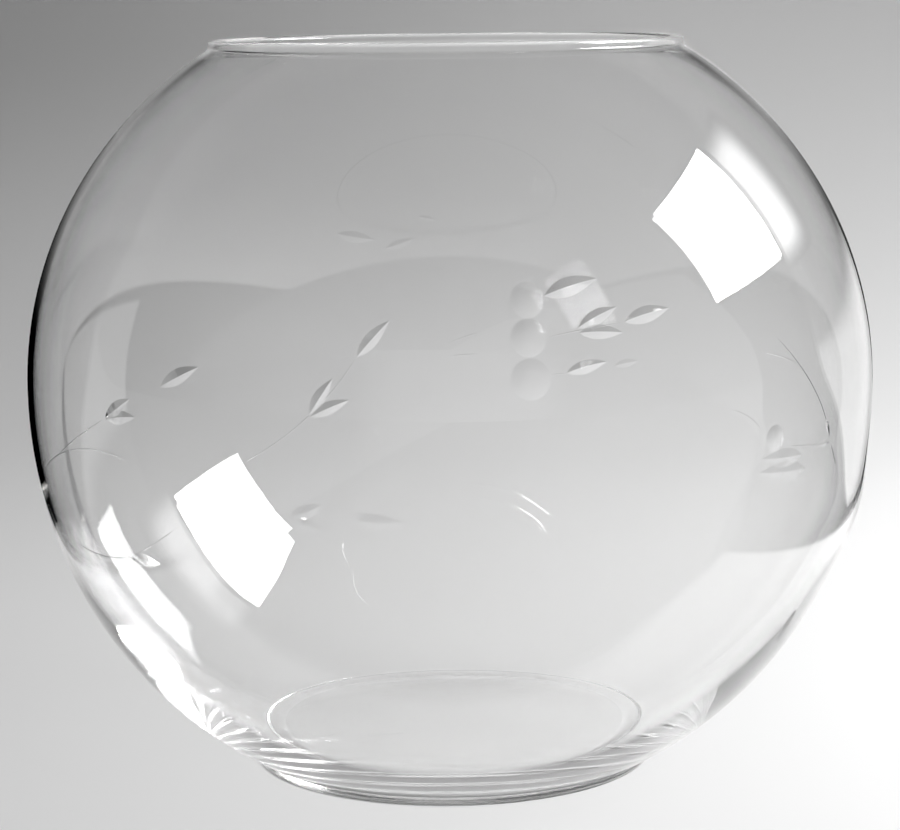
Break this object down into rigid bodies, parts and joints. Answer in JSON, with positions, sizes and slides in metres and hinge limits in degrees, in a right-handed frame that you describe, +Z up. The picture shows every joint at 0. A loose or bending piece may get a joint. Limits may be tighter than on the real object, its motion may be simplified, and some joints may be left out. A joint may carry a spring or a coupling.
{
  "type": "rose bowl vase",
  "caption": "Clear blown-glass rose bowl: a globe with a narrowed round mouth, thin wall, fire-polished lip and flat foot, wheel-cut with leafy sprays; holds cut flowers in water.",
  "frame": {"origin": "on the bowl's axis, on the plane that the foot stands on", "axes": "+Z up along the bowl's axis, through the mouth; -Y towards the decorated front; +X to the right as seen from the front"},
  "size_m": [0.2032, 0.2032, 0.175],
  "materials": {
    "clear_glass": "clear soda-lime glass, fire-polished and smooth"
  },
  "bodies": {
    "root": {"ringed_foot": "clear_glass", "blown_body": "clear_glass", "fire_polished_lip": "clear_glass"}
  },
  "joints": []
}
